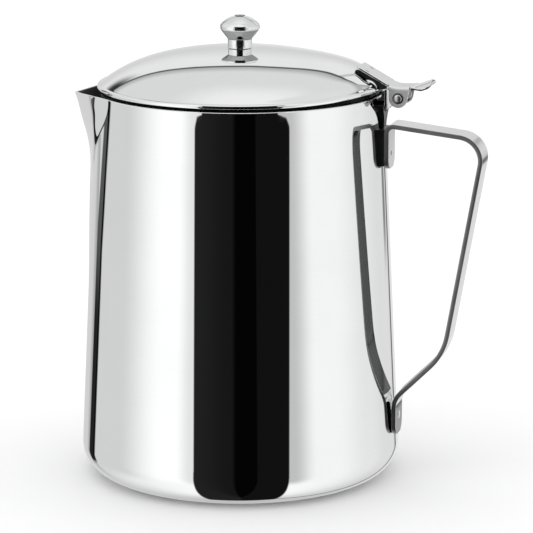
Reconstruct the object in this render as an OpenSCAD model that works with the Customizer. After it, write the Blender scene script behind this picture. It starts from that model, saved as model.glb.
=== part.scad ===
// Lidded hot water jug in polished stainless steel.
// A drawn, tapered body with a beak spout carries a bent strap handle and a
// riveted hinge; the domed lid turns on the hinge and has a thumb lever.
// Millimetres. The origin is the centre of the base, +Z is up,
// +X points to the handle and -X to the spout.

/* [Body] */
// Outside radius of the body just above the base corner
body_r = 68; // [66:0.5:70]
// Outside radius of the body at the rim
rim_r = 60.8; // [60.6:0.1:61]
// Height of the rim above the base
body_h = 165.4; // [165:0.1:165.8]
// Outside radius of the corner between the wall and the base
base_corner_r = 12.6; // [10:0.2:15]
// Sheet thickness of the wall and the base
wall_t = 0.8; // [0.6:0.1:1]

/* [Spout] */
// How far the beak's tip stands outside the wall, at the height of the rim
spout_reach = 13.6; // [11:0.2:15]
// Height where the beak starts to leave the wall
spout_z0 = 122; // [116:1:128]
// Rounding radius along the ridge of the beak
spout_ridge_r = 1.6; // [1.2:0.1:2.5]
// How far the lips drop from the rim to the tip
spout_drop = 4.8; // [3:0.2:6]

/* [Lid] */
// Outside radius of the lid's edge
lid_r = 60.1; // [59.8:0.1:60.3]
// Gap between the rim and the lid's edge
lid_gap = 0.8; // [0.6:0.1:1]
// Height of the dome's top above the lid's edge
lid_rise = 16; // [15:0.2:16.4]
// Sheet thickness of the lid
lid_t = 0.8; // [0.6:0.1:0.9]
// Depth of the ring below the lid's edge that keeps the lid centred in the body
skirt_depth = 3; // [2:0.5:4]

/* [Knob] */
// Largest radius of the knob's head
knob_r = 8.5; // [7:0.5:10]
// Radius of the knob's stem
stem_r = 5; // [4.6:0.1:5.4]
// Height of the knob above the lid
knob_h = 14; // [13:0.5:16]
// Nominal radius of the knob's screw
screw_r = 1.95; // [1.8:0.05:2.1]

/* [Handle] */
// Width of the handle's strap
strap_w = 13.4; // [13:0.1:14]
// Thickness of the handle's strap
strap_t = 1.9; // [1.7:0.1:2]
// How far the grip's top corner stands from the body's axis
grip_x = 106; // [100:1:112]
// Radius of a weld spot
weld_r = 1.65; // [1.4:0.05:1.8]

/* [Hinge] */
// Distance of the hinge pin from the body's axis
pin_x = 69.4; // [69.2:0.1:69.8]
// Height of the hinge pin
pin_z = 164.4; // [164.2:0.1:164.6]
// Radius of the hinge pin
pin_r = 1.6; // [1.4:0.1:1.7]
// Thickness of the thumb lever's sheet
lever_t = 1.1; // [0.9:0.1:1.2]
// Thickness of the bracket's sheet
bracket_t = 1.2; // [1:0.1:1.3]

/* [Hidden] */
$fn = 96;

// Outside radius of the straight wall at height z
function wall_r(z) = body_r + (rim_r - body_r) * (z - base_corner_r) / (body_h - base_corner_r);

// Lid heights
lid_z = body_h + lid_gap;
lid_top = lid_z + lid_rise;
// Top surface of the dome at radius r
function dome_z(r) = let (u = r / 60) lid_top - (lid_rise - 0.2) * (0.49 * pow(u, 2) + 0.455 * pow(u, 4) + 0.055 * pow(u, 8));

// Running clearance of the pin in the bracket, and the smaller one of the riveted ears
run_gap = 0.05;
rivet_gap = 0.02;

// Handle: centreline of the strap as corners [x, z] and bend radii
flange_x = 64.65;
foot_x = 68.8;
upper_end = 134;
lower_end = 19.5;
handle_pts = [[flange_x, upper_end], [flange_x, 152.8], [grip_x, 148], [89.9, 56.4], [foot_x, 35.5], [foot_x, lower_end]];
handle_bends = [3, 10, 26, 9];
upper_weld_z = 140.3;
lower_weld_z = 27.4;

// Lever: centreline of the sheet; its front part slopes along the lid
lever_w = strap_w;
lever_pts = [[52, 176.85], [66.9, 168.6], [75.2, 168.65], [83.6, 171.2]];
lever_bends = [11, 9];
lever_slope = atan2(lever_pts[0][1] - lever_pts[1][1], lever_pts[1][0] - lever_pts[0][0]);
lever_weld_x = 55.8;
lever_weld_y = 4.4;
ear_t = 0.9;
ear_r = 4.2;

// Bracket: its back plate lies between the wall and the handle's upper flange
plate_x0 = 62.25;
plate_x1 = flange_x - strap_t / 2;
bracket_w = lever_w - 2 * ear_t - 0.7;

// ---------- bent strips ----------
function unit(v) = v / norm(v);
function left(v) = [-v[1], v[0]];
function turn(v, a) = [v[0] * cos(a) - v[1] * sin(a), v[0] * sin(a) + v[1] * cos(a)];
// Points of one rounded corner of a path, moved off to its left side
function bend(a, b, c, r, off, n = 10) =
    let (u = unit(b - a), v = unit(c - b),
         s = sign(u[0] * v[1] - u[1] * v[0]),
         half = acos(min(1, max(-1, u * v))) / 2,
         start = b - u * (r * tan(half)),
         centre = start + s * r * left(u))
    [for (i = [0 : n]) centre + turn(-s * left(u), s * 2 * half * i / n) * (r - s * off)];
function side(p, r, off) = let (k = len(p) - 1) concat(
    [p[0] + left(unit(p[1] - p[0])) * off],
    [for (i = [1 : k - 1]) each bend(p[i - 1], p[i], p[i + 1], r[i - 1], off)],
    [p[k] + left(unit(p[k] - p[k - 1])) * off]);
function reversed(l) = [for (i = [len(l) - 1 : -1 : 0]) l[i]];

// A strip of sheet bent along a path in the X-Z plane, w wide along Y
module strip(p, r, t, w) {
    rotate([90, 0, 0]) linear_extrude(height = w, center = true)
        polygon(concat(side(p, r, t / 2), reversed(side(p, r, -t / 2))));
}

// A flat plate with an outline in the X-Z plane, from y0 to y1
module plate_xz(y0, y1) {
    translate([0, y1, 0]) rotate([90, 0, 0]) linear_extrude(height = y1 - y0) children();
}

// Rounds the two lower corners of a strap that ends at height z
module round_end(x, z, w, r) {
    for (s = [-1, 1]) difference() {
        translate([x - 4, s > 0 ? w / 2 - r : -w / 2 - 1, z - 1]) cube([8, r + 1, r + 1]);
        translate([x - 5, s * (w / 2 - r), z + r]) rotate([0, 90, 0]) cylinder(r = r, h = 10);
    }
}

// ---------- body ----------
module body_solid(in, top) {
    c = base_corner_r - in;
    rotate_extrude() polygon(concat(
        [[0, in], [body_r - base_corner_r, in]],
        [for (a = [-75 : 15 : 0]) [body_r - base_corner_r + c * cos(a), base_corner_r + c * sin(a)]],
        [[wall_r(top) - in, top], [0, top]]));
}

// The beak is a wedge: two flat flanks leave the round wall and meet in a
// rounded ridge that runs straight out from the wall up to the tip.
function spout_out(z) = spout_reach * (z - spout_z0) / (body_h - spout_z0);
function spout_section(z, foot, in) =
    let (r = wall_r(z) - 1.5 - in,
         d = wall_r(z) + spout_out(z) - in * 1.2,
         q = spout_ridge_r - in)
    [[-r * cos(foot), -r * sin(foot), z], [-d + 0.3 * q, -0.75 * q, z], [-d, 0, z], [-d + 0.3 * q, 0.75 * q, z],
     [-r * cos(foot), r * sin(foot), z], [-r * 0.55, r * 0.1, z], [-r * 0.55, -r * 0.1, z]];
module beak(in) {
    rows = [spout_section(spout_z0 - 4, 7, in), spout_section(body_h + 2, 35, in)];
    n = len(rows[0]);
    polyhedron(
        points = concat(rows[0], rows[1]),
        faces = concat(
            [[for (j = [n - 1 : -1 : 0]) j]],
            [[for (j = [0 : n - 1]) n + j]],
            [for (j = [0 : n - 1]) [j, n + (j + 1) % n, n + j]],
            [for (j = [0 : n - 1]) [j, (j + 1) % n, n + (j + 1) % n]]));
}

// Everything above the rim and above the lips of the beak
module above_rim() {
    tip_x = wall_r(body_h) + spout_reach;
    lip_x = rim_r * rim_r / tip_x;
    fall = spout_drop / (tip_x - lip_x);
    plate_xz(-90, 90) polygon([[90, body_h], [-lip_x, body_h],
        [-lip_x - 40, body_h - 40 * fall], [-lip_x - 40, body_h + 20], [90, body_h + 20]]);
}

module body_shell() {
    color([0.80, 0.81, 0.82]) difference() {
        union() {
            body_solid(0, body_h + 2);
            beak(0);
        }
        body_solid(wall_t, body_h + 3);
        beak(wall_t);
        above_rim();
    }
}

// ---------- handle ----------
module handle() {
    color([0.62, 0.63, 0.64]) difference() {
        strip(handle_pts, handle_bends, strap_t, strap_w);
        round_end(flange_x, upper_end, strap_w, 5);
        round_end(foot_x, lower_end, strap_w, 5);
        for (p = [[flange_x, upper_weld_z], [foot_x, lower_weld_z]])
            translate([p[0] - 4, 0, p[1]]) rotate([0, 90, 0]) cylinder(r = weld_r + run_gap, h = 8);
    }
}

// The upper spot holds the strap and the bracket's plate to the wall, the lower one the strap's foot
module handle_weld_spots() {
    color([0.45, 0.45, 0.46]) {
        x0 = wall_r(upper_weld_z - weld_r) + 0.06;
        translate([x0, 0, upper_weld_z]) rotate([0, 90, 0]) cylinder(r = weld_r, h = flange_x + strap_t / 2 - 0.3 - x0);
        x1 = wall_r(lower_weld_z - weld_r) + 0.06;
        translate([x1, 0, lower_weld_z]) rotate([0, 90, 0]) cylinder(r = weld_r, h = foot_x + strap_t / 2 - 0.3 - x1);
    }
}

// ---------- hinge ----------
module lug_outline() {
    difference() {
        union() {
            translate([pin_x, pin_z]) circle(r = 3.6);
            polygon([[plate_x0, 156], [plate_x1, 156], [plate_x1 + 0.6, 158.4], [plate_x1 + 1.6, 160], [pin_x - 2, 161.3],
                     [pin_x, pin_z], [pin_x, pin_z + 3.4], [plate_x0, pin_z + 3.1]]);
        }
        translate([pin_x, pin_z]) circle(r = pin_r + run_gap);
    }
}

module hinge_bracket() {
    color([0.72, 0.73, 0.74]) difference() {
        union() {
            translate([plate_x0, -bracket_w / 2, 135.5]) cube([plate_x1 - plate_x0, bracket_w, pin_z + 3.1 - 135.5]);
            plate_xz(-bracket_w / 2, -bracket_w / 2 + bracket_t) lug_outline();
            plate_xz(bracket_w / 2 - bracket_t, bracket_w / 2) lug_outline();
        }
        translate([plate_x0 - 1, 0, upper_weld_z]) rotate([0, 90, 0]) cylinder(r = weld_r + run_gap, h = 4);
    }
}

module rivet_head() {
    rotate_extrude() polygon([[0, 0], [2.25, 0], [2.25, 0.25], [1.9, 0.62], [1.2, 0.9], [0, 1]]);
}

module hinge_pin() {
    half = lever_w / 2 + 0.03;
    color([0.78, 0.78, 0.79]) translate([pin_x, 0, pin_z]) rotate([90, 0, 0]) {
        translate([0, 0, -half - 0.1]) cylinder(r = pin_r, h = 2 * half + 0.2);
        translate([0, 0, half]) rivet_head();
        translate([0, 0, -half]) mirror([0, 0, 1]) rivet_head();
    }
}

module ear_outline() {
    difference() {
        union() {
            translate([pin_x + 0.3, pin_z]) circle(r = ear_r);
            polygon([[pin_x - 3.9, pin_z], [pin_x + 4.5, pin_z], [pin_x + 5.4, 168.7], [pin_x - 3.7, 168.9]]);
        }
        translate([pin_x, pin_z]) circle(r = pin_r + rivet_gap);
    }
}

// Bores across the lever's sloping front part, square to its sheet
module lever_bores(r, h, drop) {
    mid = lever_pts[0] + (lever_pts[1] - lever_pts[0]) * (lever_weld_x - lever_pts[0][0]) / (lever_pts[1][0] - lever_pts[0][0]);
    for (s = [-1, 1]) translate([mid[0], s * lever_weld_y, mid[1]]) rotate([0, lever_slope, 0]) translate([0, 0, drop]) cylinder(r = r, h = h);
}

module thumb_lever() {
    color([0.74, 0.75, 0.76]) difference() {
        union() {
            strip(lever_pts, lever_bends, lever_t, lever_w);
            plate_xz(-lever_w / 2, -lever_w / 2 + ear_t) ear_outline();
            plate_xz(lever_w / 2 - ear_t, lever_w / 2) ear_outline();
        }
        lever_bores(weld_r + run_gap, 6, -3);
    }
}

module lever_weld_spots() {
    color([0.45, 0.45, 0.46]) lever_bores(weld_r, lever_t - 0.27, -lever_t / 2 + 0.02);
}

// ---------- lid ----------
module lid_shell() {
    ring_r = lid_r - 0.8;
    pad_x0 = 50.6;
    pad_x1 = 58.4;
    // underside of the lever above the lid
    lever_under = function (x) lever_pts[0][1] - (x - lever_pts[0][0]) * tan(lever_slope) - lever_t / 2 / cos(lever_slope) - 0.02;
    color([0.83, 0.84, 0.85]) difference() {
        union() {
            difference() {
                union() {
                    // dome with its upright edge
                    rotate_extrude() polygon(concat(
                        [[0, lid_z], [lid_r, lid_z], [lid_r, lid_z + 0.6], [lid_r - 0.3, lid_z + 0.95]],
                        [for (r = [59, 57, 55, 52, 48, 43, 37, 30, 22, 14, 6, 0]) [r, dome_z(r)]]));
                    // ring that drops into the body
                    translate([0, 0, lid_z - skirt_depth]) cylinder(r = ring_r, h = skirt_depth + 0.5);
                }
                // hollow under the dome
                rotate_extrude() polygon(concat(
                    [[0, lid_z - skirt_depth - 1], [ring_r - lid_t, lid_z - skirt_depth - 1], [ring_r - lid_t, dome_z(57.6) - lid_t - 0.3]],
                    [for (r = [57, 55, 52, 48, 43, 37, 30, 22, 14, 6, 0]) [r, dome_z(r) - lid_t]]));
                // the ring is cut away in front of the spout
                translate([-80, -26, lid_z - skirt_depth - 1]) cube([40, 52, skirt_depth + 1]);
            }
            // raised land that carries the thumb lever
            plate_xz(-lever_w / 2 - 0.4, lever_w / 2 + 0.4) polygon(concat(
                [for (x = [pad_x0 : 1.3 : pad_x1]) [x, dome_z(x) - 0.45]],
                [[pad_x1, lever_under(pad_x1)], [52.4, lever_under(52.4)], [51.2, lever_under(52.4) - 0.3], [pad_x0, lever_under(52.4) - 1.4]]));
        }
        translate([0, 0, lid_top - 5]) cylinder(r = screw_r + 0.2, h = 10);
    }
}

// ---------- knob ----------
module lid_knob() {
    k = knob_h / 14;
    color([0.78, 0.79, 0.80]) translate([0, 0, lid_top + 0.02]) difference() {
        rotate_extrude() polygon([[0, 0], [stem_r, 0], [stem_r, 3.9 * k], [knob_r - 1.05, 6.6 * k], [knob_r - 0.25, 8.2 * k],
            [knob_r, 9.1 * k], [knob_r - 0.2, 10 * k], [knob_r - 0.8, 10.7 * k], [2.0, 13.9 * k], [1.7, 14 * k], [0, 14 * k]]);
        translate([0, 0, -1]) cylinder(r = screw_r + 0.04, h = 9);
    }
}

washer_t = 0.8;
washer_z = lid_top - lid_t - 0.12 - washer_t;
module knob_washer() {
    color([0.66, 0.67, 0.68]) translate([0, 0, washer_z]) difference() {
        cylinder(r = 4.6, h = washer_t);
        translate([0, 0, -1]) cylinder(r = screw_r + 0.15, h = washer_t + 2);
    }
}

module knob_screw() {
    color([0.6, 0.61, 0.62]) translate([0, 0, washer_z - 0.02]) difference() {
        union() {
            cylinder(r = screw_r, h = 9);
            rotate_extrude() polygon([[0, 0], [3.7, 0], [3.7, -1.3], [3.1, -2.1], [1.8, -2.5], [0, -2.6]]);
        }
        for (a = [0, 90]) rotate([0, 0, a]) translate([-2.1, -0.45, -3]) cube([4.2, 0.9, 2]);
    }
}

body_shell();
handle();
handle_weld_spots();
hinge_bracket();
hinge_pin();
thumb_lever();
lever_weld_spots();
lid_shell();
lid_knob();
knob_washer();
knob_screw();
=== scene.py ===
import math

import bmesh
import bpy
import numpy as np
from mathutils import Matrix, Vector


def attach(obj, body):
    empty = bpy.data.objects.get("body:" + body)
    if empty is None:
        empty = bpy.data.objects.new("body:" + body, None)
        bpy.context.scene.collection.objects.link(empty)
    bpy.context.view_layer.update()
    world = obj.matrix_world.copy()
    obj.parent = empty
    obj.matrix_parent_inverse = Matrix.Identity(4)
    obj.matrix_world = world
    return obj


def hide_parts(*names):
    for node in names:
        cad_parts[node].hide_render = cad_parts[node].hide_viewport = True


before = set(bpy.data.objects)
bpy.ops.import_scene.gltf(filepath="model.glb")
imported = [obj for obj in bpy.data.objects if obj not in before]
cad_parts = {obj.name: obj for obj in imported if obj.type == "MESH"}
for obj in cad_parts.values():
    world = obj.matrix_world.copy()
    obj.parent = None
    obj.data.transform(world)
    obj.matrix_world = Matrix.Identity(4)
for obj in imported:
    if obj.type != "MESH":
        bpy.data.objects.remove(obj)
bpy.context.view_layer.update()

scene = bpy.context.scene
MM = 0.001

# ------------------------------------------------------------------
# materials
# ------------------------------------------------------------------


def steel(name, low, high, rough, grain, bump, tint=0.5):
    """Stainless steel: metal whose colour and roughness drift over the surface,
    with fine polishing lines. grain scales the lines along X, Y and Z (per metre)."""
    m = bpy.data.materials.new(name)
    m.use_nodes = True
    nt = m.node_tree
    nt.nodes.clear()
    out = nt.nodes.new("ShaderNodeOutputMaterial")
    bsdf = nt.nodes.new("ShaderNodeBsdfPrincipled")
    bsdf.inputs["Metallic"].default_value = 1.0
    nt.links.new(bsdf.outputs["BSDF"], out.inputs["Surface"])
    coord = nt.nodes.new("ShaderNodeTexCoord")

    drift = nt.nodes.new("ShaderNodeTexNoise")
    drift.inputs["Scale"].default_value = 38.0
    drift.inputs["Detail"].default_value = 4.0
    drift.inputs["Roughness"].default_value = 0.55
    nt.links.new(coord.outputs["Object"], drift.inputs["Vector"])

    lines_map = nt.nodes.new("ShaderNodeMapping")
    lines_map.inputs["Scale"].default_value = grain
    nt.links.new(coord.outputs["Object"], lines_map.inputs["Vector"])
    lines = nt.nodes.new("ShaderNodeTexNoise")
    lines.inputs["Scale"].default_value = 1.0
    lines.inputs["Detail"].default_value = 3.0
    lines.inputs["Roughness"].default_value = 0.6
    nt.links.new(lines_map.outputs["Vector"], lines.inputs["Vector"])

    blend = nt.nodes.new("ShaderNodeMath")
    blend.operation = "MULTIPLY_ADD"
    blend.inputs[1].default_value = tint
    nt.links.new(lines.outputs["Fac"], blend.inputs[0])
    nt.links.new(drift.outputs["Fac"], blend.inputs[2])

    ramp = nt.nodes.new("ShaderNodeValToRGB")
    ramp.color_ramp.elements[0].position = 0.45
    ramp.color_ramp.elements[0].color = (*low, 1.0)
    ramp.color_ramp.elements[1].position = 0.45 + 0.6 * (0.5 + tint * 0.5)
    ramp.color_ramp.elements[1].color = (*high, 1.0)
    nt.links.new(blend.outputs[0], ramp.inputs["Fac"])
    nt.links.new(ramp.outputs["Color"], bsdf.inputs["Base Color"])

    rmap = nt.nodes.new("ShaderNodeMapRange")
    rmap.inputs["From Min"].default_value = 0.35 + 0.35 * tint
    rmap.inputs["From Max"].default_value = 0.65 + 0.65 * tint
    rmap.inputs["To Min"].default_value = rough[0]
    rmap.inputs["To Max"].default_value = rough[1]
    nt.links.new(blend.outputs[0], rmap.inputs["Value"])
    nt.links.new(rmap.outputs["Result"], bsdf.inputs["Roughness"])

    b = nt.nodes.new("ShaderNodeBump")
    b.inputs["Strength"].default_value = bump[0]
    b.inputs["Distance"].default_value = bump[1]
    nt.links.new(lines.outputs["Fac"], b.inputs["Height"])
    nt.links.new(b.outputs["Normal"], bsdf.inputs["Normal"])
    return m


MIRROR = steel("mirror_steel", (0.93, 0.935, 0.94), (0.965, 0.968, 0.97), (0.006, 0.014),
               (60, 60, 2400), (0.001, 0.00002))
LID = steel("lid_steel", (0.93, 0.935, 0.94), (0.965, 0.968, 0.97), (0.02, 0.036),
            (420, 420, 420), (0.01, 0.00002))
INSIDE = steel("inside_satin_steel", (0.62, 0.625, 0.63), (0.76, 0.763, 0.766), (0.30, 0.42),
               (70, 70, 2600), (0.06, 0.00003))
# Painted shade: a darker steel colour for the underside of the knob, standing for the shade under it.
KNOB_UNDER_SHADE = steel("knob_underside_painted_shade_steel", (0.32, 0.322, 0.324), (0.46, 0.462, 0.464), (0.04, 0.07),
                   (160, 160, 5200), (0.08, 0.00003))
# Painted shade: near-black steel laid on faces in the shade between parts and in grooves.
PAINTED_SHADE = steel("painted_shade_steel", (0.05, 0.05, 0.05), (0.11, 0.11, 0.11), (0.25, 0.4),
             (900, 900, 900), (0.2, 0.00005))
# Painted shade: near-black steel for the shaded gap under the lid's hem.
GAP_SHADE = steel("lid_gap_painted_shade_steel", (0.003, 0.003, 0.003), (0.011, 0.011, 0.011), (0.3, 0.4),
            (900, 900, 900), (0.2, 0.00005))
KNOB = steel("turned_steel", (0.86, 0.865, 0.87), (0.95, 0.953, 0.955), (0.10, 0.17),
             (160, 160, 5200), (0.06, 0.00003))
STRAP = steel("strap_steel", (0.90, 0.903, 0.906), (0.97, 0.972, 0.974), (0.06, 0.11),
              (90, 1600, 90), (0.05, 0.00003))
# Painted shade: near-black steel on the handle's inner face, standing for the shade on the side turned to the jug.
STRAP_INNER_SHADE = steel("strap_inner_painted_shade_steel", (0.008, 0.008, 0.008), (0.13, 0.131, 0.132), (0.12, 0.2),
                 (14, 900, 14), (0.05, 0.00003), tint=1.6)
# Painted shade: a darker steel colour on the long edges of the handle strap.
EDGE_SHADE = steel("strap_edge_painted_shade_steel", (0.31, 0.313, 0.316), (0.43, 0.433, 0.436), (0.36, 0.46),
             (220, 3800, 220), (0.16, 0.00005))
LEVER = steel("lever_steel", (0.86, 0.864, 0.868), (0.94, 0.943, 0.946), (0.07, 0.13),
              (120, 1500, 120), (0.04, 0.00003))
EAR = steel("ear_steel", (0.92, 0.922, 0.924), (0.97, 0.972, 0.974), (0.46, 0.58),
            (900, 200, 300), (0.10, 0.00004))
BRACKET = steel("bracket_steel", (0.80, 0.804, 0.808), (0.92, 0.923, 0.926), (0.06, 0.12),
                (300, 300, 900), (0.04, 0.00003))
RIVET = steel("rivet_steel", (0.84, 0.843, 0.846), (0.95, 0.952, 0.954), (0.22, 0.36),
              (700, 90, 700), (0.08, 0.00005))
WELD = steel("weld_mark_steel", (0.05, 0.049, 0.048), (0.13, 0.128, 0.126), (0.34, 0.52),
             (1500, 1500, 1500), (0.5, 0.00015))
LID_WELD = steel("lid_weld_mark_steel", (0.28, 0.278, 0.275), (0.46, 0.456, 0.452), (0.3, 0.44),
                 (1500, 1500, 1500), (0.4, 0.0001))
HARDWARE = steel("hardware_steel", (0.62, 0.624, 0.628), (0.78, 0.783, 0.786), (0.16, 0.28),
                 (500, 500, 1900), (0.10, 0.00005))


# ------------------------------------------------------------------
# mesh helpers (all shapes are given in millimetres)
# ------------------------------------------------------------------


def make(name, verts, faces, mats, body, stands_for, sharp=32, bevel=None, fmat=None):
    me = bpy.data.meshes.new(name)
    me.from_pydata([tuple(float(c) * MM for c in v) for v in verts], [], [tuple(int(i) for i in f) for f in faces])
    for m in mats:
        me.materials.append(m)
    if fmat is not None:
        me.polygons.foreach_set("material_index", np.asarray(fmat, np.int32))
    bm = bmesh.new()
    bm.from_mesh(me)
    bmesh.ops.recalc_face_normals(bm, faces=bm.faces)
    bm.to_mesh(me)
    bm.free()
    me.polygons.foreach_set("use_smooth", np.ones(len(me.polygons), bool))
    me.set_sharp_from_angle(angle=math.radians(sharp))
    me.update()
    o = bpy.data.objects.new(name, me)
    scene.collection.objects.link(o)
    if bevel:
        b = o.modifiers.new("edge_break", "BEVEL")
        b.width = bevel[0] * MM
        b.segments = bevel[1]
        b.limit_method = "ANGLE"
        b.angle_limit = math.radians(28)
        b.harden_normals = False
    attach(o, body)
    if stands_for:
        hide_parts(*stands_for)
    return o


def rings(rows, cap_first=False, cap_last=False, loop=False):
    """Vertices and faces of a stack of closed rings with the same number of points."""
    verts, faces = [], []
    n = len(rows[0])
    for r in rows:
        verts.extend(r)
    m = len(rows)
    for i in range(m if loop else m - 1):
        a, b = i * n, ((i + 1) % m) * n
        for j in range(n):
            k = (j + 1) % n
            faces.append((a + j, a + k, b + k, b + j))
    if cap_first:
        c = len(verts)
        verts.append(np.mean(np.asarray(rows[0], float), axis=0))
        faces.extend((c, (j + 1) % n, j) for j in range(n))
    if cap_last:
        c = len(verts)
        verts.append(np.mean(np.asarray(rows[-1], float), axis=0))
        a = (m - 1) * n
        faces.extend((c, a + j, a + (j + 1) % n) for j in range(n))
    return verts, faces


def merge(*groups):
    verts, faces, tags = [], [], []
    for t, (v, f) in enumerate(groups):
        k = len(verts)
        verts.extend(v)
        faces.extend(tuple(i + k for i in q) for q in f)
        tags.extend([t] * len(f))
    return verts, faces, tags


def smooth01(x):
    x = np.clip(x, 0.0, 1.0)
    return x * x * (3 - 2 * x)


def monotone(xs, ys):
    """Monotone cubic through the points (xs, ys)."""
    xs, ys = np.asarray(xs, float), np.asarray(ys, float)
    h = np.diff(xs)
    d = np.diff(ys) / h
    s = np.zeros(len(xs))
    for i in range(1, len(xs) - 1):
        if d[i - 1] * d[i] > 0:
            w1, w2 = 2 * h[i] + h[i - 1], h[i] + 2 * h[i - 1]
            s[i] = (w1 + w2) / (w1 / d[i - 1] + w2 / d[i])
    s[0], s[-1] = d[0], d[-1]

    def f(x):
        x = np.asarray(x, float)
        i = np.clip(np.searchsorted(xs, x, side="right") - 1, 0, len(xs) - 2)
        t = np.clip((x - xs[i]) / h[i], 0.0, 1.0)
        return ((1 + 2 * t) * (1 - t) ** 2 * ys[i] + t * (1 - t) ** 2 * h[i] * s[i]
                + t * t * (3 - 2 * t) * ys[i + 1] + t * t * (t - 1) * h[i] * s[i + 1])

    return f


# ------------------------------------------------------------------
# body: drawn wall, rolled base corner and beak spout in one sheet
# ------------------------------------------------------------------
BODY_R, RIM_R, RIM_Z, CORNER, WALL = 68.0, 60.8, 165.4, 12.6, 0.8
LIP_Z = 164.55
LEAN = (BODY_R - RIM_R) / (RIM_Z - CORNER)


def wall_r(z):
    return BODY_R - LEAN * (np.asarray(z, float) - CORNER)


SPOUT_Z = [60, 75, 88, 105, 122, 130, 136, 142.4, 150, 157, 160.6, 166]
spout_out = monotone(SPOUT_Z, [0, 0.4, 0.9, 1.55, 2.4, 3.0, 4.0, 5.7, 8.4, 10.6, 12.0, 13.9])
spout_nose = monotone(SPOUT_Z, [58, 54, 50, 45, 34, 22, 11, 5.5, 2.8, 1.8, 1.5, 1.4])


flank_dir = monotone([130, 133, 136, 139, 142, 144, 147.3, 150.4, 153.5, 157.4, 160, 166], [21.3, 21.0, 21.0, 22.2, 23.4, 24.0, 25.2, 26.1, 26.8, 27.7, 28.2, 29.0])
crease_at = monotone([130, 133.3, 136.4, 139, 141.7, 144.6, 147.6, 150.6, 153.5, 156.3, 159.4, 162.4, 166],
                     [22.0, 24.0, 25.0, 25.5, 26.3, 28.3, 30.7, 33.3, 35.4, 37.2, 38.5, 39.0, 39.2])
SHOULDER_R, SHOULDER_DIR = 40.0, math.radians(56)


def soft_min(a, b, k):
    h = np.clip(k - np.abs(a - b), 0, None) / k
    return np.minimum(a, b) - h * h * k / 4


def section_r(psi, z, inset):
    """Radius at angle psi from the spout, at height z: the round wall, a pressed
    shoulder that stands up from it at a crease, a flat flank on each side, and the
    rounded ridge where the flanks meet."""
    psi = np.abs(psi)
    big = wall_r(z)
    nose = np.minimum(spout_nose(z), big - 0.5)
    c = np.maximum(big + spout_out(z) - nose, 1e-6)
    al = np.arccos(np.clip((big - nose) / c, -1, 1))
    al = np.where(z > 130.5, np.minimum(al, np.radians(flank_dir(z))), al)
    at = np.radians(crease_at(z))
    kx = big * np.cos(at) - SHOULDER_R * math.cos(SHOULDER_DIR)
    ky = big * np.sin(at) - SHOULDER_R * math.sin(SHOULDER_DIR)
    flank_d = c * np.cos(al) + nose - inset
    big, nose = big - inset, np.maximum(nose - inset, 0.25)
    flank = flank_d / np.cos(np.clip(psi - al, -1.2, 1.2))
    along = kx * np.cos(psi) + ky * np.sin(psi)
    across = kx * np.sin(psi) - ky * np.cos(psi)
    shoulder = along + np.sqrt(np.maximum((SHOULDER_R - inset) ** 2 - across ** 2, 0))
    turn = al + math.radians(3)
    facing = np.arctan2(shoulder * np.sin(psi) - ky, shoulder * np.cos(psi) - kx)
    straight = (kx * np.cos(turn) + ky * np.sin(turn) + SHOULDER_R - inset) / np.cos(np.clip(psi - turn, -1.2, 1.2))
    shoulder = np.where(facing > turn, shoulder, straight)
    raised = -soft_min(-big, -soft_min(flank, shoulder, 2.0), 1.2)
    raised = np.where(psi > 0.9, big, raised)
    plain = np.where(psi > al, big, flank)
    r = np.where(z > 130.5, raised, plain)
    edge = np.arctan2(nose * np.sin(al), c + nose * np.cos(al))
    tip = c * np.cos(psi) + np.sqrt(np.maximum(nose ** 2 - (c * np.sin(psi)) ** 2, 0))
    return np.where(psi < edge, tip, r)


def lip_z(x):
    s = -56.0 - x
    return LIP_Z - 0.215 * (s + np.sqrt(s * s + 9.0)) / 2


psi_half = np.radians(np.concatenate([np.linspace(0, 6, 21)[:-1], np.linspace(6, 18, 21)[:-1], np.linspace(18, 42, 111)[:-1],
                                      np.linspace(42, 56, 15)[:-1], np.linspace(56, 180, 70)]))
psi = np.concatenate([psi_half, -psi_half[-2:0:-1]])
cpsi, spsi = np.cos(psi), np.sin(psi)


def ring_at(r, z):
    r = np.broadcast_to(r, psi.shape)
    z = np.broadcast_to(z, psi.shape)
    return np.stack([-r * cpsi, -r * spsi, z], axis=1)


top = np.full(psi.shape, LIP_Z)
for _ in range(40):
    top = 0.5 * top + 0.5 * lip_z(-section_r(psi, top, 0) * cpsi)

RECESS = 0.6
lean_a = math.atan(LEAN)
cx = BODY_R - CORNER / math.cos(lean_a)
body_rows = []
for r in (6, 14, 24, 34, 42, 46):
    body_rows.append(ring_at(r, RECESS))
for k in range(1, 8):
    t = k / 7
    body_rows.append(ring_at(46 + 3.4 * t, RECESS * (1 - float(smooth01(t)))))
body_rows.append(ring_at(52.5, 0.0))
for a in np.linspace(-math.pi / 2, lean_a, 27):
    body_rows.append(ring_at(cx + CORNER * math.cos(a), CORNER + CORNER * math.sin(a)))
z_join = CORNER + CORNER * math.sin(lean_a)
for z in np.linspace(z_join, 60, 12)[1:]:
    body_rows.append(ring_at(wall_r(z), z))
for w in np.concatenate([np.linspace(0, 0.68, 26)[1:], np.linspace(0.68, 1, 56)[1:]]):
    z = 60 + (top - 0.4 - 60) * w
    body_rows.append(ring_at(section_r(psi, z, 0), z))
z_edge = top - 0.4
ro, ri = section_r(psi, z_edge, 0), section_r(psi, z_edge, WALL)
for k in range(1, 8):
    a = math.pi * k / 8
    body_rows.append(ring_at((ro + ri) / 2 + (ro - ri) / 2 * math.cos(a), z_edge + 0.4 * math.sin(a)))
n_outer = len(body_rows)
for w in np.linspace(1, 0, 50):
    z = 60 + (top - 0.4 - 60) * w
    body_rows.append(ring_at(section_r(psi, z, WALL), z))
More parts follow.
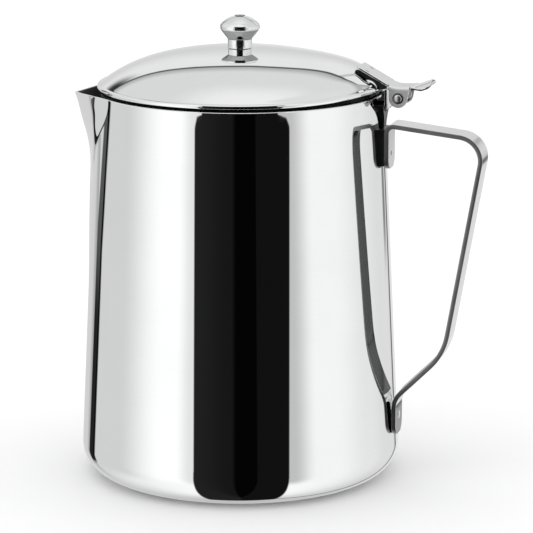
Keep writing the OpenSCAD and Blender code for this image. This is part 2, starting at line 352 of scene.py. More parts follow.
for z in np.linspace(60, z_join, 8)[1:]:
    body_rows.append(ring_at(wall_r(z) - WALL, z))
ci = CORNER - WALL
for a in np.linspace(lean_a, -math.pi / 2, 17)[1:]:
    body_rows.append(ring_at(cx + ci * math.cos(a), CORNER + ci * math.sin(a)))
for t in np.linspace(0, 1, 7):
    body_rows.append(ring_at(50 - 4 * t, WALL + RECESS * float(smooth01(t))))
for r in (38, 28, 18, 8):
    body_rows.append(ring_at(r, WALL + RECESS))
v, f = rings(body_rows, cap_first=True, cap_last=True)
ncol = len(psi)
fmat = [1 if min(q) >= n_outer * ncol else 0 for q in f]
body = make("jug_body", v, f, [MIRROR, INSIDE], "jug", ["body_shell"], sharp=60, fmat=fmat)

# ------------------------------------------------------------------
# lid: pressed dome, hem and centring ring, raised on the hinge side
# ------------------------------------------------------------------
LID_R, LID_Z, LID_TOP, LID_T = 60.1, 165.55, 182.2, 0.8


def dome_z(r):
    u = np.asarray(r, float) / 60
    return LID_TOP - 15.8 * (0.49 * u ** 2 + 0.455 * u ** 4 + 0.055 * u ** 8)


def rise(x, r):
    """How far the hinge side of the lid stands above the round dome."""
    q = np.clip((x - 14) / 46, 0, None) ** 2
    return q * q + 4.8 * q * (1 - np.clip(r / LID_R, 0, 1) ** 10)


NL = 288
th = np.arange(NL) * 2 * np.pi / NL
cth, sth = np.cos(th), np.sin(th)


def seat(x, y, z):
    """How far the flat seat in front of the hinge stands above the height z."""
    u = x - 55.76
    e = 172.3 - 0.2 * u - 0.064 * np.clip(u, 0, None) ** 2 - 0.55 * np.clip(np.abs(y) - 6.3, 0, None) - z
    return smooth01((x - 46) / 6) * (e + np.sqrt(e * e + 0.06)) / 2


# the rim runs straighter and further out in front of the hinge
bulge = 1.9 * smooth01((math.radians(17) - np.abs(np.angle(np.exp(1j * th)))) / math.radians(11))


def lid_ring(r, z, lift=0.0):
    r = np.broadcast_to(np.asarray(r, float), th.shape)
    z = np.broadcast_to(np.asarray(z, float), th.shape) + rise(r * cth, r)
    if lift:
        r = r + bulge * np.clip((r - 56.0) / 4.1, 0, 1)
    return np.stack([r * cth, r * sth, z + lift * seat(r * cth, r * sth, z)], axis=1)


front_cut = smooth01((np.abs(np.angle(np.exp(1j * (th - np.pi)))) - math.radians(25.6)) / math.radians(1.2))


def skirt(z):
    """Height on the centring ring, which is cut away in front of the spout."""
    return np.where(front_cut > 0.5, z, LID_Z - 0.35 + 0.02 * (z - 163.2))


lid_rows = []
for r in [2.15, 2.6, 4, 6, 8.5, 11, 14, 17, 20, 23, 26, 29, 32, 35, 38, 40.5, 43, 45.2, 47.2, 49, 50.7, 52.2, 53.6, 54.9, 56, 57, 57.8, 58.4]:
    lid_rows.append(lid_ring(r, dome_z(r), 1.0))
z58 = float(dome_z(58.75))
lid_rows.append(lid_ring(58.85, z58, 1.0))
bead_top = z58
for a in (80, 66, 52, 38, 24, 10, -4, -18, -32, -46, -60, -74):
    q = math.radians(a)
    row = lid_ring(59.5 + 0.6 * math.cos(q), bead_top - 0.02, 1.0)
    row[:, 2] += 0.94 * (math.sin(q) - 1)
    lid_rows.append(row)
n_bead = len(lid_rows)
for r, z, lift in [(59.42, LID_Z - 0.06, 0.5), (59.31, LID_Z - 0.2, 0.0)]:
    lid_rows.append(lid_ring(r, z, lift))
for r, z in [(59.305, 164.4), (59.3, 163.45), (59.2, 163.25), (58.9, 163.2), (58.6, 163.25), (58.5, 163.45)]:
    row = lid_ring(r, 0.0)
    row[:, 2] = skirt(np.full(th.shape, z)) + np.where(front_cut > 0.5, 0, rise(r * cth, np.full(th.shape, r)))
    lid_rows.append(row)
for r in [58.3, 57.4, 56, 54, 51, 47.5, 43.5, 39, 34, 28, 22, 16, 10, 5, 2.15]:
    under = dome_z(r) - LID_T * (1 + 0.25 * (r / 60) ** 2)
    lid_rows.append(lid_ring(r, under))
lid_v, lid_f = rings(lid_rows, loop=True)

# lever: centreline of its sheet
LEV = [(52.0, 176.85), (66.9, 168.6), (75.2, 168.75), (82.7, 171.6)]
LEV_BEND = [11.0, 9.0]
LEV_T, LEV_W = 1.1, 13.4


def bent_path(pts, radii, step):
    """Dense points [x, z] along a path of straight runs and round bends."""
    pts = [np.array(p, float) for p in pts]
    out = [pts[0]]
    for i in range(1, len(pts) - 1):
        a, b, c, r = pts[i - 1], pts[i], pts[i + 1], radii[i - 1]
        u, w = (b - a) / np.linalg.norm(b - a), (c - b) / np.linalg.norm(c - b)
        turn = math.acos(max(-1, min(1, float(u @ w))))
        s = 1.0 if u[0] * w[1] - u[1] * w[0] > 0 else -1.0
        start = b - u * r * math.tan(turn / 2)
        left = np.array([-u[1], u[0]])
        centre = start + s * r * left
        n = max(6, int(turn / math.radians(4.0)))
        for k in range(n + 1):
            q = s * turn * k / n
            d = -s * left * r
            out.append(centre + np.array([d[0] * math.cos(q) - d[1] * math.sin(q), d[0] * math.sin(q) + d[1] * math.cos(q)]))
    out.append(pts[-1])
    dense = [out[0]]
    for p in out[1:]:
        d = np.linalg.norm(p - dense[-1])
        if d < 1e-6:
            continue
        n = max(1, int(math.ceil(d / step)))
        base = dense[-1]
        for k in range(1, n + 1):
            dense.append(base + (p - base) * k / n)
    return np.array(dense)


def strap(path, half_w, t, edge, ny, shape=None, extra=None):
    """A flat strap swept along a path [x, z]. half_w(s) is its half width at length s,
    edge the rounding of its long edges; shape(s, y, side) moves a face along its normal.
    Returns vertices, faces and a tag per face: 0 left face, 1 right face, 2 edges."""
    seg = np.linalg.norm(np.diff(path, axis=0), axis=1)
    s = np.concatenate([[0], np.cumsum(seg)])
    total = s[-1]
    stations = list(s)
    if extra is not None:
        stations += list(extra(total))
    ends = [0, 0.06 * edge, 0.3 * edge, 0.65 * edge, edge]
    stations = [q for q in stations if edge * 1.2 < q < total - edge * 1.2] + ends + [total - e for e in ends]
    stations = np.unique(np.round(np.array(sorted(stations)), 5))
    px, pz = np.interp(stations, s, path[:, 0]), np.interp(stations, s, path[:, 1])
    tan = np.gradient(np.stack([np.interp(stations, s, path[:, 0]), np.interp(stations, s, path[:, 1])], 1), stations, axis=0)
    tan /= np.linalg.norm(tan, axis=1)[:, None]
    nor = np.stack([-tan[:, 1], tan[:, 0]], 1)
    arc = np.linspace(0, math.pi / 2, 5)
    ys = np.linspace(-1, 1, ny)
    rows, tags_ring = [], []
    for i, q in enumerate(stations):
        e = min(q, total - q)
        thin = 1.0
        inset = 0.0
        if e < edge:
            k = math.sqrt(max(0.0, 1 - (1 - e / edge) ** 2))
            inset = edge * (1 - k)
        hw = max(0.2, half_w(q, total) - inset)
        ht = t / 2 - inset
        er = min(edge, ht * 0.98, hw * 0.9) if e >= edge else max(0.02, min(edge, ht * 0.98) * max(0.05, k))
        ring, tg = [], []
        flat = hw - er
        left_lo, left_hi = (shape(q, -flat, 0), shape(q, flat, 0)) if shape else (0.0, 0.0)
        right_lo, right_hi = (shape(q, -flat, 1), shape(q, flat, 1)) if shape else (0.0, 0.0)
        for y in ys[::-1] * flat:
            n_off = ht + (shape(q, y, 0) if shape else 0.0)
            ring.append((px[i] + nor[i, 0] * n_off, y, pz[i] + nor[i, 1] * n_off)); tg.append(0)
        for a in arc[1:]:
            y = -flat - er * math.sin(a)
            n_off = ht - er + er * math.cos(a) + left_lo
            ring.append((px[i] + nor[i, 0] * n_off, y, pz[i] + nor[i, 1] * n_off)); tg.append(2)
        for a in arc[::-1]:
            y = -flat - er * math.sin(a)
            n_off = -(ht - er + er * math.cos(a)) - right_lo
            ring.append((px[i] + nor[i, 0] * n_off, y, pz[i] + nor[i, 1] * n_off)); tg.append(2)
        for y in ys[1:] * flat:
            n_off = -ht - (shape(q, y, 1) if shape else 0.0)
            ring.append((px[i] + nor[i, 0] * n_off, y, pz[i] + nor[i, 1] * n_off)); tg.append(1)
        for a in arc[1:]:
            y = flat + er * math.sin(a)
            n_off = -(ht - er + er * math.cos(a)) - right_hi
            ring.append((px[i] + nor[i, 0] * n_off, y, pz[i] + nor[i, 1] * n_off)); tg.append(2)
        for a in arc[::-1][:-1]:
            y = flat + er * math.sin(a)
            n_off = ht - er + er * math.cos(a) + left_hi
            ring.append((px[i] + nor[i, 0] * n_off, y, pz[i] + nor[i, 1] * n_off)); tg.append(2)
        rows.append(ring)
        tags_ring = tg
    v, f = rings(rows, cap_first=True, cap_last=True)
    n = len(rows[0])
    tags = []
    for face in f:
        if len(face) == 4:
            j = face[0] % n
            k = (j + 1) % n
            a, b = tags_ring[j], tags_ring[k]
            tags.append(a if a == b else 2)
        else:
            tags.append(2)
    return v, f, tags


def slab(outline, y0, y1, flare=None):
    """A flat plate with an outline [x, z] between y0 and y1; flare(x) shifts it along Y."""
    n = len(outline)
    fl = flare or (lambda x: 0.0)
    v = [(x, y0 + fl(x), z) for x, z in outline] + [(x, y1 + fl(x), z) for x, z in outline]
    f = [tuple(range(n)), tuple(range(2 * n - 1, n - 1, -1))]
    f += [(i, n + i, n + (i + 1) % n, (i + 1) % n) for i in range(n)]
    return v, f


lev_path = bent_path(LEV, LEV_BEND, 0.9)
slope = math.atan2(LEV[0][1] - LEV[1][1], LEV[1][0] - LEV[0][0])


def lever_under(x):
    return LEV[0][1] - (x - LEV[0][0]) * math.tan(slope) - LEV_T / 2 / math.cos(slope)


# raised land of the lid under the lever
land = [(51.0, 171.2), (57.5, 168.0), (60.0, 167.6), (64.6, 168.25), (64.6, lever_under(64.6) - 0.03), (52.6, lever_under(52.6) - 0.03),
        (51.5, lever_under(52.4) - 0.25), (51.0, lever_under(52.4) - 0.9)]
land_v, land_f = slab(land, -6.3, 6.3)
v, f, tags = merge((lid_v, lid_f), (land_v, land_f))
# The underside of the hem and the top of the centring ring get the near-black steel: painted shade in the gap under the
# hem.
fmat = []
for i, q in enumerate(f):
    under_edge = tags[i] == 0 and min(q) // NL in (n_bead - 1, n_bead, n_bead + 1) and max(q) - min(q) < 3 * NL
    fmat.append(1 if under_edge else 0)
lid = make("jug_lid", v, f, [LID, GAP_SHADE], "lid", ["lid_shell"], sharp=50, fmat=fmat)

# ------------------------------------------------------------------
# knob: turned from bar, with a small boss on top
# ------------------------------------------------------------------
KZ = 182.22


def turned(profile, n, axis_o, axis="z", close=True):
    rows = []
    for r, z in profile:
        a = np.arange(n) * 2 * np.pi / n
        if axis == "z":
            rows.append(np.stack([axis_o[0] + r * np.cos(a), axis_o[1] + r * np.sin(a), np.full(n, axis_o[2] + z)], 1))
        else:
            rows.append(np.stack([axis_o[0] + r * np.cos(a), np.full(n, axis_o[1] + z), axis_o[2] + r * np.sin(a)], 1))
    return rings(rows, cap_first=close, cap_last=close)


def arc_pts(c, r, a0, a1, n):
    return [(c[0] + r * math.cos(math.radians(a0 + (a1 - a0) * k / n)), c[1] + r * math.sin(math.radians(a0 + (a1 - a0) * k / n))) for k in range(n + 1)]


knob_prof = [(0.6, 0.0), (4.4, 0.0), (4.95, 0.03), (5.1, 0.1), (5.15, 0.25), (5.15, 0.6), (5.15, 1.4), (5.15, 2.2), (5.15, 3.0), (5.15, 3.6), (5.16, 3.82), (5.22, 4.0)]
n_stem = len(knob_prof)
knob_prof += [(5.36, 4.2), (5.6, 4.5), (5.98, 4.98), (6.4, 5.5), (6.85, 6.06), (7.3, 6.62), (7.68, 7.12), (7.98, 7.58), (8.22, 8.0)]
n_under = len(knob_prof)
knob_prof += [(8.38, 8.42), (8.46, 8.85), (8.45, 9.25), (8.36, 9.65), (8.18, 10.05), (7.92, 10.42), (7.58, 10.78), (7.1, 11.18), (6.5, 11.62), (5.9, 12.02), (5.2, 12.44), (4.4, 12.84), (3.5, 13.2), (2.7, 13.44), (2.2, 13.54)]
n_dome = len(knob_prof)
knob_prof += [(2.06, 13.56), (2.02, 13.64), (2.02, 13.86)]
n_boss = len(knob_prof)
knob_prof += [(1.97, 13.96), (1.8, 14.02), (1.5, 14.04), (0.5, 14.05)]
v, f = turned(knob_prof, 96, (0, 0, KZ))
# The underside of the knob gets the darker steel as painted shade; a thin ring at the top of the stem and the step
# round the boss get the near-black steel as painted shade.
fmat = []
for face in f:
    row = min(face) // 96
    if len(face) != 4:
        fmat.append(0)
    elif n_stem - 1 <= row < n_under - 1:
        fmat.append(1)
    else:
        fmat.append(2 if n_dome - 1 <= row < n_boss - 1 or row == n_stem - 2 else 0)
make("lid_knob_turned", v, f, [KNOB, KNOB_UNDER_SHADE, PAINTED_SHADE], "lid", ["lid_knob"], sharp=28, fmat=fmat)

# ------------------------------------------------------------------
# handle: one strap with a flange at each end
# ------------------------------------------------------------------
HAN = [(64.65, 134.0), (64.65, 152.8), (106.0, 148.0), (89.9, 56.4), (68.8, 35.5), (68.8, 19.5)]
HAN_BEND = [3.0, 10.0, 26.0, 9.0]
STRAP_T, STRAP_W = 1.9, 13.4
han_path = bent_path(HAN, HAN_BEND, 1.6)


def han_half(s, total):
    w = STRAP_W / 2
    r = 5.0
    e = min(s, total - s)
    if e < r:
        return w - r + math.sqrt(max(0.0, r * r - (r - e) ** 2)) if e > 0 else w - r
    return w


WELD_S = (140.3 - 134.0, 27.4 - 19.5)
han_len = float(np.sum(np.linalg.norm(np.diff(han_path, axis=0), axis=1)))


def han_shape(s, y, side):
    """Shallow dimples of the two spot welds, on the outer face."""
    if abs(y) > 2.4:
        return 0.0
    d = 0.0
    for at, outer in ((WELD_S[0], 1), (han_len - WELD_S[1], 0)):
        q = math.hypot(s - at, y)
        if q < 2.3 and side == outer:
            d = min(d, -0.42 * (1 - float(smooth01((q - 1.0) / 0.7))))
    return d


def han_extra(total):
    out = []
    for at in (WELD_S[0], total - WELD_S[1]):
        out += [at + 0.25 * k for k in range(-11, 12)]
    out += [0.5 * k for k in range(1, 14)] + [total - 0.5 * k for k in range(1, 14)]
    return out


v, f, tags = strap(han_path, han_half, STRAP_T, 0.22, 45, shape=han_shape, extra=han_extra)
# Face finishes: the long edges get the darker steel and the inner face above the foot the near-black steel, both
# painted shade; the inner faces of the top flange get the satin ear steel, and the faces turned to the wall get the
# near-black painted shade.
fmat = []
for q, t in zip(f, tags):
    mid = np.mean([v[i] for i in q], axis=0)
    flange = t == 1 and mid[0] < 66.2 and mid[2] > 130
    against_wall = t == 0 and mid[0] < 65.2 and mid[2] > 130
    fmat.append(1 if t == 2 else (4 if against_wall else (3 if flange else (2 if t == 1 and mid[2] > 37 else 0))))
make("handle_strap", v, f, [STRAP, EDGE_SHADE, STRAP_INNER_SHADE, EAR, PAINTED_SHADE], "jug", ["handle"], sharp=40, fmat=fmat)

# ------------------------------------------------------------------
# thumb lever: strip with two ears folded down to the pin
# ------------------------------------------------------------------
PIN = (69.4, 164.4)
EAR_X0, EAR_X1 = 65.5, 74.0


def lev_half(s, total):
    x = np.interp(s, lev_s, lev_path[:, 0])
    w = LEV_W / 2
    notch = smooth01((x - (EAR_X0 - 0.9)) / 0.7) * (1 - smooth01((x - (EAR_X1 + 0.1)) / 0.8))
    w = w - 1.25 * float(notch)
    e = total - s
    r = 2.4
    if e < r:
        w = w - r + math.sqrt(max(0.0, r * r - (r - e) ** 2))
    r = 0.8
    if s < r:
        w = w - r + math.sqrt(max(0.0, r * r - (r - s) ** 2))
    return w


lev_s = np.concatenate([[0], np.cumsum(np.linalg.norm(np.diff(lev_path, axis=0), axis=1))])


def lev_shape(s, y, side):
    """Weld dimples on the front part and a light dish in the thumb tab."""
    x = float(np.interp(s, lev_s, lev_path[:, 0]))
    d = 0.0
    t = smooth01((x - 74.6) / 4.2)
    dish = -2.0 * t * ((y / 6.7) ** 2)
    if side == 0:
        d += dish
        for c in (-4.4, 4.4):
            q = math.hypot(s - lev_weld_s, y - c)
            if q < 2.2:
                d -= 0.36 * (1 - float(smooth01((q - 0.7) / 0.7)))
    else:
        d -= dish
    return d


lev_weld_s = (55.8 - LEV[0][0]) / math.cos(slope)


def lev_extra(total):
    return [lev_weld_s + 0.25 * k for k in range(-11, 12)] + [total - 0.3 * k for k in range(1, 12)] + \
        [float(np.interp(x, lev_path[:, 0], lev_s)) for x in np.arange(EAR_X0 - 1.2, EAR_X0 + 0.4, 0.15)] + \
        [float(np.interp(x, lev_path[:, 0], lev_s)) for x in np.arange(EAR_X1 - 0.2, EAR_X1 + 1.2, 0.15)]


strip_v, strip_f, strip_t = strap(lev_path, lev_half, LEV_T, 0.5, 45, shape=lev_shape, extra=lev_extra)

# ears: sheet folded down from the strip's side
lev_top_x = lev_path[:, 0]
lev_mid_z = lev_path[:, 1]
FOLD = 1.5
EAR_C, EAR_R = 69.4, 3.9
EAR_T = 0.9


def ear_low(x):
    """Lower outline of the ear at x: a round end below the pin, straight sides above it."""
    c, r = EAR_C, EAR_R
    q = x - c
    if q < 0.966 * r:
        return PIN[1] - math.sqrt(max(0.0, r * r - q * q))
    return PIN[1] - 0.26 * r + (q - 0.966 * r) * 5.0


ear_groups = []
ear_xs = np.unique(np.concatenate([
    EAR_C - EAR_R * np.cos(np.linspace(0, math.radians(165), 41)),
    np.linspace(EAR_C + 0.966 * EAR_R, EAR_X1, 8)[1:]]))
for side in (-1, 1):
    rows = []
    for x in ear_xs:
        zt = float(np.interp(x, lev_top_x, lev_mid_z)) + LEV_T / 2 - 0.02
        low = min(ear_low(float(x)), zt - FOLD - 0.3)
        outer, inner = [], []
        for z in np.linspace(low, zt - FOLD, 8):
            outer.append((x, side * LEV_W / 2, z))
            inner.append((x, side * (LEV_W / 2 - EAR_T), z))
        for a in np.linspace(0, math.pi / 2, 8)[1:]:
            outer.append((x, side * (LEV_W / 2 - FOLD + FOLD * math.cos(a)), zt - FOLD + FOLD * math.sin(a)))
            q = FOLD - EAR_T
            inner.append((x, side * (LEV_W / 2 - FOLD + q * math.cos(a)), zt - FOLD + q * math.sin(a)))
        outer.append((x, side * (LEV_W / 2 - FOLD - 0.6), zt - 0.02))
        inner.append((x, side * (LEV_W / 2 - FOLD - 0.6), zt - EAR_T))
        rows.append(outer + inner[::-1])
    v, f = rings(rows, cap_first=False, cap_last=False)
    n = len(rows[0])
    f.append(tuple(range(n)))
    f.append(tuple((len(rows) - 1) * n + i for i in range(n - 1, -1, -1)))
    ear_groups.append((v, f))
v, f, tags = merge((strip_v, strip_f), *ear_groups)
# The lever's front end and the lower half of the thumb tab's edges get the near-black steel as painted shade; the other
# edges get the bracket steel and the ears the ear steel.
fmat = []
for i, q in enumerate(f):
    if tags[i] != 0:
        fmat.append(2)
    elif max(v[k][0] for k in q) < 52.35:
        fmat.append(3)
    elif strip_t[i] == 2 and min(v[k][0] for k in q) > 74.6:
        mid = np.mean([v[k] for k in q], axis=0)
        centre = float(np.interp(mid[0], lev_path[:, 0], lev_path[:, 1])) - 2.0 * float(smooth01((mid[0] - 74.6) / 4.2)) * (mid[1] / 6.7) ** 2
        fmat.append(3 if mid[2] < centre else 1)
    else:
        fmat.append(0 if strip_t[i] != 2 else 1)
make("lever_with_ears", v, f, [LEVER, BRACKET, EAR, PAINTED_SHADE], "lid", ["thumb_lever"], sharp=34, fmat=fmat)

# ------------------------------------------------------------------
# hinge bracket: back plate with two lugs, pressed from one sheet
# ------------------------------------------------------------------
lug = [(63.2, 158.4), (63.7, 158.4), (64.2, 158.8), (64.75, 159.35), (65.5, 160.05), (66.4, 160.75)]
lug += arc_pts(PIN, 3.6, 232, 450, 26)
lug += [(66.0, 167.9), (63.2, 167.5)]


def flare(sign):
    return lambda x: -sign * 0.15 * max(0.0, 69.0 - x)


def bedded(z, depth):
    """A point on the wall at height z, set into it so that the plate's sides meet the round wall."""
    return (float(wall_r(z)) - depth, z)


plate = [bedded(135.5, 0.6), (63.7, 135.5), (63.7, 151.0), bedded(151.0, 0.6)]
taper = [(2.6, 150.5), (2.5, 152.5), (2.6, 153.8), (2.95, 155.1), (3.55, 156.3), (4.3, 157.4), (5.1, 158.4), (5.75, 159.4), (6.05, 160.4), (6.1, 161.4), (6.1, 163.4)]
taper = taper + [(-y, z) for y, z in reversed(taper)]
n = len(taper)
neck_v = [(bedded(z, 0.5)[0], y, z) for y, z in taper] + [(62.6 + 0.08 * (z - 150.5), y, z) for y, z in taper]
neck_f = [tuple(range(n)), tuple(range(2 * n - 1, n - 1, -1))] + [(i, n + i, n + (i + 1) % n, (i + 1) % n) for i in range(n)]
wide = [bedded(161.0, 0.6), (63.7, 161.0), (63.7, 167.4), (62.25, 167.4), (62.25, 164.9), bedded(163.6, 0.6)]
parts = [slab(plate, -6.4, 6.4), (neck_v, neck_f), slab(wide, -6.1, 6.1), slab(lug, -5.45, -4.25, flare(-1)), slab(lug, 4.25, 5.45, flare(1))]
v, f, tags = merge(*parts)
# The whole back plate and the sides of the neck get the near-black steel: painted shade between bracket and wall.
fmat = [1 if tags[i] == 0 or tags[i] == 1 and i - tags.index(1) >= 2 else 0 for i in range(len(f))]
make("hinge_bracket_pressed", v, f, [BRACKET, PAINTED_SHADE], "jug", ["hinge_bracket"], sharp=30, bevel=(0.16, 3), fmat=fmat)

# ------------------------------------------------------------------
# hinge pin: rivet with a domed head at each end
# ------------------------------------------------------------------
head = [(1.6, 0.0), (2.1, 0.0), (2.22, 0.04), (2.27, 0.12), (2.24, 0.2), (2.14, 0.26), (1.9, 0.28), (1.72, 0.3), (1.66, 0.36), (1.64, 0.46), (1.58, 0.56), (1.44, 0.65), (1.2, 0.74), (0.85, 0.82), (0.45, 0.87), (0.2, 0.88)]
n_ring = 9
yh = LEV_W / 2 + 0.03
pin_prof = [(r, -yh - z) for r, z in reversed(head)] + [(1.6, -3.0), (1.6, 3.0)] + [(r, yh + z) for r, z in head]
v, f = turned(pin_prof, 64, (PIN[0], 0.0, PIN[1]), axis="y")
nh = len(head)
# The outer ring of each head gets the near-black steel as painted shade in the groove round the head.
fmat = []
for face in f:
    row = min(face) // 64
    k = (nh - 1 - row - 1) if row < nh - 1 else (row - nh - 2 if row >= nh + 2 else -1)
    fmat.append(1 if 0 <= k < n_ring and len(face) == 4 else 0)
make("hinge_rivet", v, f, [RIVET, PAINTED_SHADE], "lid", ["hinge_pin"], sharp=35, fmat=fmat)

# ------------------------------------------------------------------
# nodes that stay as they are, with finished materials
# ------------------------------------------------------------------
for node, mat in (("handle_weld_spots", WELD), ("lever_weld_spots", LID_WELD), ("knob_washer", HARDWARE), ("knob_screw", HARDWARE)):
    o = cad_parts[node]
    o.data.materials.clear()
    o.data.materials.append(mat)

# ------------------------------------------------------------------
# floor, light and camera
# ------------------------------------------------------------------
fm = bpy.data.materials.new("pale_floor")
fm.use_nodes = True
nt = fm.node_tree
bsdf = nt.nodes["Principled BSDF"]
bsdf.inputs["Roughness"].default_value = 0.7
bsdf.inputs["Specular IOR Level"].default_value = 0.1
tc = nt.nodes.new("ShaderNodeTexCoord")
nz = nt.nodes.new("ShaderNodeTexNoise")
nz.inputs["Scale"].default_value = 3.0
cr = nt.nodes.new("ShaderNodeValToRGB")
cr.color_ramp.elements[0].color = (0.93, 0.93, 0.93, 1)
cr.color_ramp.elements[1].color = (0.95, 0.95, 0.95, 1)
nt.links.new(tc.outputs["Object"], nz.inputs["Vector"])
nt.links.new(nz.outputs["Fac"], cr.inputs["Fac"])
nt.links.new(cr.outputs["Color"], bsdf.inputs["Base Color"])
me = bpy.data.meshes.new("floor")
E = 8.0
me.from_pydata([(-E, -E, -0.0001), (E, -E, -0.0001), (E, E, -0.0001), (-E, E, -0.0001)], [], [(0, 1, 2, 3)])
me.materials.append(fm)
floor = bpy.data.objects.new("floor", me)
scene.collection.objects.link(floor)
floor.visible_glossy = False

# studio round the jug: a dark flag in front, a soft box on each side, pale walls behind and above
world = bpy.data.worlds.new("studio")
scene.world = world
world.use_nodes = True
wt = world.node_tree
wt.nodes.clear()
w_out = wt.nodes.new("ShaderNodeOutputWorld")
bg = wt.nodes.new("ShaderNodeBackground")
wt.links.new(bg.outputs["Background"], w_out.inputs["Surface"])
wc = wt.nodes.new("ShaderNodeTexCoord")


def val(node_or_value, socket):
    if isinstance(node_or_value, (int, float)):
        socket.default_value = node_or_value
    else:
        wt.links.new(node_or_value, socket)


def mth(op, a, b=None, c=None):
    n = wt.nodes.new("ShaderNodeMath")
    n.operation = op
    val(a, n.inputs[0])
    if b is not None:
        val(b, n.inputs[1])
    if c is not None:
        val(c, n.inputs[2])
    return n.outputs[0]


def step(x, a, b, lo=0.0, hi=1.0):
    """Smooth step from lo to hi as x goes from a to b (a below b)."""
    n = wt.nodes.new("ShaderNodeMapRange")
    n.interpolation_type = "SMOOTHSTEP"
    val(x, n.inputs["Value"])
    n.inputs["From Min"].default_value = a
    n.inputs["From Max"].default_value = b
    n.inputs["To Min"].default_value = lo
    n.inputs["To Max"].default_value = hi
    return n.outputs["Result"]


def dot(vec):
    n = wt.nodes.new("ShaderNodeVectorMath")
    n.operation = "DOT_PRODUCT"
    wt.links.new(wc.outputs["Generated"], n.inputs[0])
    n.inputs[1].default_value = vec
    return n.outputs["Value"]


def mix(f, a, b):
    """a where f is 0, b where f is 1."""
    return mth("ADD", mth("MULTIPLY", a, mth("SUBTRACT", 1.0, f)), mth("MULTIPLY", b, f))


FRONT = (0.2501, -0.9682, 0.0)
RIGHT = (0.9682, 0.2501, 0.0)
DEG = 180 / math.pi
az = mth("MULTIPLY", mth("ARCTAN2", dot(RIGHT), dot(FRONT)), DEG)
el = mth("MULTIPLY", mth("ARCSINE", dot((0, 0, 1))), DEG)
aback = mth("SUBTRACT", 180.0, mth("ABSOLUTE", az))

# left and right soft boxes, and the pale sheet behind, seen low in the wall of the jug
left = mth("ADD", 0.62, mth("MULTIPLY", 0.40, mth("MULTIPLY", step(az, -100, -58), step(az, -48, -35.5, 1.0, 0.38))))
left = mth("SUBTRACT", left, mth("MULTIPLY", step(az, -152, -143), step(az, -141.5, -140.5, 0.24, 0.0)))
left = mth("ADD", left, step(az, -178, -160, 0.10, 0.03))
right = mth("ADD", 0.54, mth("ADD", step(az, 39, 58, 0.0, 0.40), mth("ADD", step(az, 74, 108, 0.0, -0.13), step(az, 108, 132, 0.0, -0.07))))
right = mth("ADD", right, mth("ADD", step(az, 148, 152, 0.0, -0.05), step(az, 156, 162, 0.0, 0.09)))
sides = mix(step(az, -1, 1), left, right)
# dark flag in front of the jug, in two tones, down to the table
el_in = mth("MINIMUM", -4.7, mth("MAXIMUM", -11.2, el))
low_part = step(el, 16, 26, 1.0, 0.0)
round_l = mth("MULTIPLY", low_part, mth("ADD", step(el, -4.72, -4.36, 0.0, 1.9), step(el, -4.455, -4.32, 0.0, 3.7)))
round_r = mth("MULTIPLY", low_part, mth("ADD", step(el, -4.75, -4.40, 0.0, 3.0), step(el, -4.52, -4.30, 0.0, 6.2)))
flag_l = mth("SUBTRACT", mth("ADD", -36.18, round_l), mth("MULTIPLY", 0.25, el_in))
flag_r = mth("ADD", mth("SUBTRACT", 42.18, round_r), mth("MULTIPLY", 0.6, el_in))
flag = mth("MULTIPLY", step(mth("SUBTRACT", az, flag_l), -0.6, 0.6), step(mth("SUBTRACT", az, flag_r), -0.6, 0.6, 1.0, 0.0))
flag = mth("MULTIPLY", flag, step(el, 36, 44, 1.0, 0.0))
ahead, beside_it, down = dot(FRONT), mth("ABSOLUTE", dot(RIGHT)), dot((0, 0, -1))
foot = mth("ADD", mix(step(az, -1, 1), 0.262, 0.276), mth("MULTIPLY", mix(step(az, -1, 1), 0.342, 0.362), ahead))
foot = mth("SUBTRACT", foot, beside_it)
foot = mth("MULTIPLY", step(foot, -0.010, 0.010), step(ahead, -0.42, -0.36))
flag = mth("MAXIMUM", flag, mth("MULTIPLY", foot, step(down, 0.19, 0.21)))
dark = mth("ADD", 0.0012, mth("ADD", step(az, -6.5, -2.5, 0.0075, 0.0), step(az, 11.8, 12.8, 0.0, 0.0045)))
dark = mth("ADD", dark, step(az, -34, -8, 0.0065, 0.0))
# pale back sheet below the ceiling, with dark gaps along its sides, its top and its foot
line_l = mth("MAXIMUM", 8.0, mth("SUBTRACT", 33.4, mth("MULTIPLY", 0.0108, mth("MULTIPLY", aback, aback))))
line_r = mth("ADD", 33.3, mth("SUBTRACT", step(aback, 1, 25, 0.0, 5.7), step(aback, 30, 54, 0.0, 12.0)))
line_el = mix(step(az, -1, 1), line_l, line_r)
off = mth("SUBTRACT", el, line_el)
sheet = mth("ADD", 0.66, step(off, -26, -10, 0.0, 0.15))
under = mix(mth("MULTIPLY", step(el, -1.0, 8.0), step(aback, 44, 58, 1.0, 0.0)), sides, sheet)
low10 = mth("ADD", el, 10.0)
climb = mth("MINIMUM", 3.2, mth("MAXIMUM", 0.0, low10))
gap_edge = mth("ADD", -130.2, mth("ADD", mth("MULTIPLY", 2.3, climb), mth("MULTIPLY", 0.4, mth("MINIMUM", 0.0, low10))))
in_gap = mth("SUBTRACT", az, gap_edge)
gap_w = mth("SUBTRACT", 11.4, mth("MULTIPLY", 1.0, climb))
depth = mix(step(in_gap, -4.2, -2.6), step(el, -11.8, -9.8, 0.975, 0.86), 0.994)
gap_l = mth("MULTIPLY", mth("MULTIPLY", step(mth("ADD", in_gap, gap_w), -1.1, 1.1), step(in_gap, -1.1, 1.1, 1.0, 0.0)), depth)
gap_l = mth("MULTIPLY", gap_l, step(el, -2.0, 10.0, 1.0, 0.0))
high_l = mth("MULTIPLY", mth("MULTIPLY", step(az, -152, -147), step(az, -140, -134, 0.9, 0.0)), step(el, -2.0, 8.0))
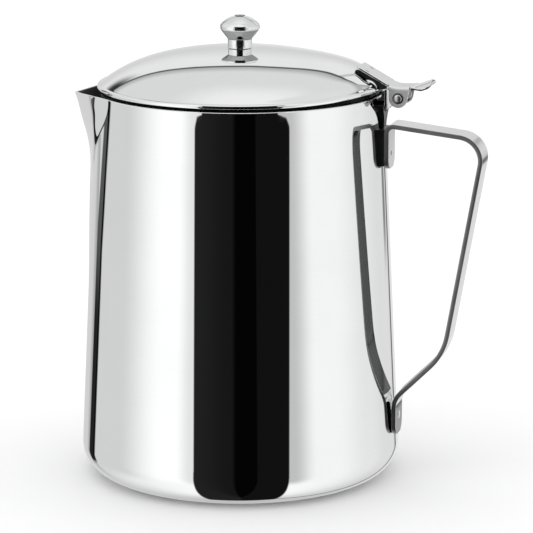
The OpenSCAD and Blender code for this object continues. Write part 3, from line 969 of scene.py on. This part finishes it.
corner = mth("MULTIPLY", mth("MULTIPLY", step(az, -164, -154), step(az, -151.5, -148, 0.95, 0.0)),
             mth("MULTIPLY", step(el, 14.0, 22.0), step(el, 24.0, 29.0, 1.0, 0.0)))
high_l = mth("MAXIMUM", high_l, corner)
gap_r = mth("MULTIPLY", mth("MULTIPLY", step(az, 152.5, 154.5), step(az, 156, 159, 0.86, 0.0)), step(el, 0.0, 9.0, 1.0, 0.4))
gap_r = mth("MAXIMUM", gap_r, mth("MULTIPLY", mth("MULTIPLY", step(az, 143, 146), step(az, 149, 152, 0.7, 0.0)), mth("MULTIPLY", step(el, -11.4, -10.0), step(el, -6.0, 0.0, 1.0, 0.0))))
gaps = mth("ADD", mth("MULTIPLY", mth("MAXIMUM", gap_l, high_l), step(el, -26, -21)), gap_r)
table = mth("ADD", 0.50, step(aback, -20, 130, 0.0, 0.48))
under = mix(step(el, -44, -22, 1.0, 0.0), under, table)
under = mth("MULTIPLY", under, mth("SUBTRACT", 1.0, gaps))
ceiling = mth("ADD", 0.42, mth("ADD", step(off, 0.5, 9, 0.0, 0.29), step(el, 56, 78, 0.0, 0.16)))
beside = mix(step(az, -1, 1), mth("ADD", 0.79, step(az, -85, -60, 0.0, 0.14)), mth("ADD", 0.74, step(az, 45, 70, 0.10, 0.0)))
over = mix(step(aback, 50, 66, 0.0, 1.0), ceiling, beside)
over = mix(step(aback, 140, 150, 0.0, 1.0), over, 0.95)
meet = mix(step(aback, 46, 58, 0.0, 1.0), step(off, -0.6, 0.4), step(el, 2.0, 14.0))
whole = mix(meet, under, over)
edge = mth("MULTIPLY", mth("MULTIPLY", step(off, -1.6, -0.4), step(off, 0.2, 1.8, 0.85, 0.0)), step(aback, 38, 46, 1.0, 0.0))
whole = mth("MULTIPLY", whole, mth("SUBTRACT", 1.0, edge))
whole = mix(flag, whole, dark)
bg.inputs["Strength"].default_value = 1.0
comb = wt.nodes.new("ShaderNodeCombineColor")
wt.links.new(whole, comb.inputs[0])
wt.links.new(whole, comb.inputs[1])
wt.links.new(whole, comb.inputs[2])
wt.links.new(comb.outputs["Color"], bg.inputs["Color"])


def area(name, loc, target, size, energy):
    L = bpy.data.lights.new(name, "AREA")
    L.shape = "RECTANGLE"
    L.size, L.size_y = size
    L.energy = energy
    o = bpy.data.objects.new(name, L)
    scene.collection.objects.link(o)
    o.location = loc
    o.rotation_mode = "QUATERNION"
    o.rotation_quaternion = (Vector(target) - Vector(loc)).to_track_quat("-Z", "Y")
    o.visible_glossy = False
    o.visible_camera = False
    return o


area("overhead", (0.0, 0.0, 3.0), (0, 0, 0), (14.0, 14.0), 310.0)

cam = bpy.data.cameras.new("photo_camera")
cam.sensor_width = 36.0
cam.lens = 201.03
cam.clip_start, cam.clip_end = 0.05, 60.0
camera = bpy.data.objects.new("photo_camera", cam)
scene.collection.objects.link(camera)
c_right = Vector((0.9682355, 0.25004005, 0.0))
c_up = Vector((-0.05398309, 0.20903988, 0.97641597))
c_back = Vector((0.2441431, -0.9454006, 0.21589776))
camera.matrix_world = Matrix(((c_right.x, c_up.x, c_back.x, 0.3212033), (c_right.y, c_up.y, c_back.y, -1.1990964),
                              (c_right.z, c_up.z, c_back.z, 0.3625005), (0, 0, 0, 1)))
scene.camera = camera

scene.view_settings.view_transform = "Standard"
scene.view_settings.look = "None"
